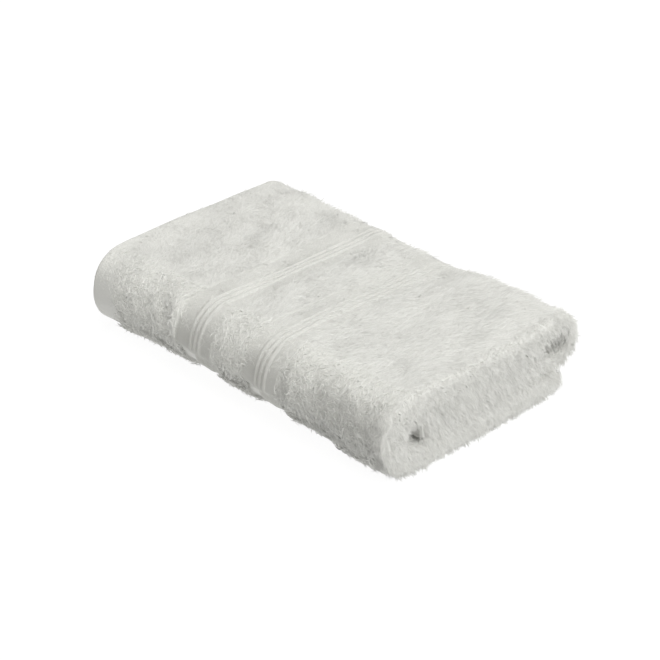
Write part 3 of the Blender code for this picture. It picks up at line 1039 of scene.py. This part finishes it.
# On the round end the pile is left long, and closes the cloth's layers over. In the hollow
# of the loop it is longer still, and leans out.
END_SPACING = 0.9 * MM
END_MIDDLE = PATH_END * 0.42
HOLLOW = (LOOP_START - 30 * MM, LOOP_TOP + 25 * MM)
for number, (name, stretch, spacing) in enumerate((
    ("pile_round_end_loop", (*ROUND_END, SELVEDGES[0], END_MIDDLE), END_SPACING),
    ("pile_round_end_near", (*ROUND_END, END_MIDDLE, SELVEDGES[1]), END_SPACING),
    ("pile_hollow", (ROUND_END[1], ROUND_END[1] + 30 * MM, *HOLLOW), 1.2 * MM),
    ("pile_near_hollow", (ROUND_END[1], ROUND_END[1] + 12 * MM, *FROM_NEAR), 0.6 * MM),
    ("pile_hollow_hem_end", (SECOND_TURN[0] - 20 * MM, SECOND_TURN[0], *HOLLOW), 1.5 * MM),
)):
    long_pile(name, stretch, spacing, 30 + number)

# The hem is turned under and held by one row of lockstitches near its inner edge, sewn
# through it in thread of the same cotton. Each stitch dips into the cloth at both ends.
STITCH_PITCH = 2.6 * MM
STITCH_LENGTH = 2.2 * MM
STITCH_LINE = 18.5 * MM
THREAD_RADIUS = 0.25 * MM
THREAD_PROFILE = np.array([0.7, 1.0, 0.0])
# Along a stitch: shares of its length, and heights over the cloth.
STITCH_RISE = ((0.0, -0.1 * MM), (0.5, 0.3 * MM), (1.0, -0.1 * MM))
stitch_start = np.arange(LOOP_START, NEAR_END + 5 * MM, STITCH_PITCH)
stitch_line = np.full(len(stitch_start), STITCH_LINE)
stitch_sides, _ = facing(standing, stitch_line, stitch_start)
stitch_centres = np.stack([
    standing(stitch_line, stitch_start + share * STITCH_LENGTH) + lift * stitch_sides
    for share, lift in STITCH_RISE
], axis=1)
strands("hem_stitches", stitch_centres, THREAD_RADIUS, THREAD_PROFILE, stitch_sides, 70)

# A plain pale floor, a broad key light from above on the right, a weaker fill without shadow
# from the front right, a faint warm surround, and a camera at the angle of the photograph.
FLOOR_SIZE = 4.0
shape = bmesh.new()
bmesh.ops.create_grid(shape, x_segments=1, y_segments=1, size=FLOOR_SIZE)
floor_mesh = bpy.data.meshes.new("floor")
shape.to_mesh(floor_mesh)
shape.free()
floor = bpy.data.objects.new("floor", floor_mesh)
bpy.context.scene.collection.objects.link(floor)
paint = bpy.data.materials.new("floor_paint")
paint.use_nodes = True
paint_shader = paint.node_tree.nodes["Principled BSDF"]
paint_shader.inputs["Base Color"].default_value = (0.1, 0.1, 0.1, 1)
paint_shader.inputs["Roughness"].default_value = 0.9
paint_shader.inputs["Emission Color"].default_value = (1.0, 1.0, 1.0, 1)
paint_shader.inputs["Emission Strength"].default_value = 0.92
floor_mesh.materials.append(paint)


def sunlight(name, strength, spread, source, shadow):
    """A broad sun that shines from that way, its spread in degrees."""
    sun = bpy.data.lights.new(name, "SUN")
    sun.energy = strength
    sun.angle = math.radians(spread)
    sun.use_shadow = shadow
    light = bpy.data.objects.new(name, sun)
    light.rotation_mode = "QUATERNION"
    light.rotation_quaternion = Vector(source).to_track_quat("Z", "Y")
    bpy.context.scene.collection.objects.link(light)


sunlight("soft_key", 3.2, 75, (0.34, 0.12, 0.91), True)
sunlight("soft_fill", 1.1, 90, (0.9, 0.1, 0.35), False)
world = bpy.data.worlds.new("studio")
world.use_nodes = True
surround = world.node_tree.nodes["Background"]
surround.inputs["Color"].default_value = (1.0, 0.97, 0.90, 1)
surround.inputs["Strength"].default_value = 0.15
bpy.context.scene.world = world
bpy.context.scene.view_settings.view_transform = "Standard"

FOCAL_PIXELS = 2141
IMAGE_PIXELS = 660
SHIFT_PIXELS = -1.5
SENSOR = 36.0
CAMERA_DISTANCE = 1.317
LOOKED_AT = Vector((0, 0, 20 * MM))
camera_data = bpy.data.cameras.new("camera")
camera_data.sensor_width = SENSOR
camera_data.lens = FOCAL_PIXELS / IMAGE_PIXELS * SENSOR
camera_data.shift_y = SHIFT_PIXELS / IMAGE_PIXELS
camera_data.clip_start = 0.05
azimuth, elevation = math.radians(45.41), math.radians(30.44)
back = Vector((
    math.sin(azimuth) * math.cos(elevation),
    -math.cos(azimuth) * math.cos(elevation),
    math.sin(elevation),
))
camera = bpy.data.objects.new("camera", camera_data)
camera.location = LOOKED_AT + CAMERA_DISTANCE * back
camera.rotation_mode = "QUATERNION"
camera.rotation_quaternion = back.to_track_quat("Z", "Y")
bpy.context.scene.collection.objects.link(camera)
bpy.context.scene.camera = camera
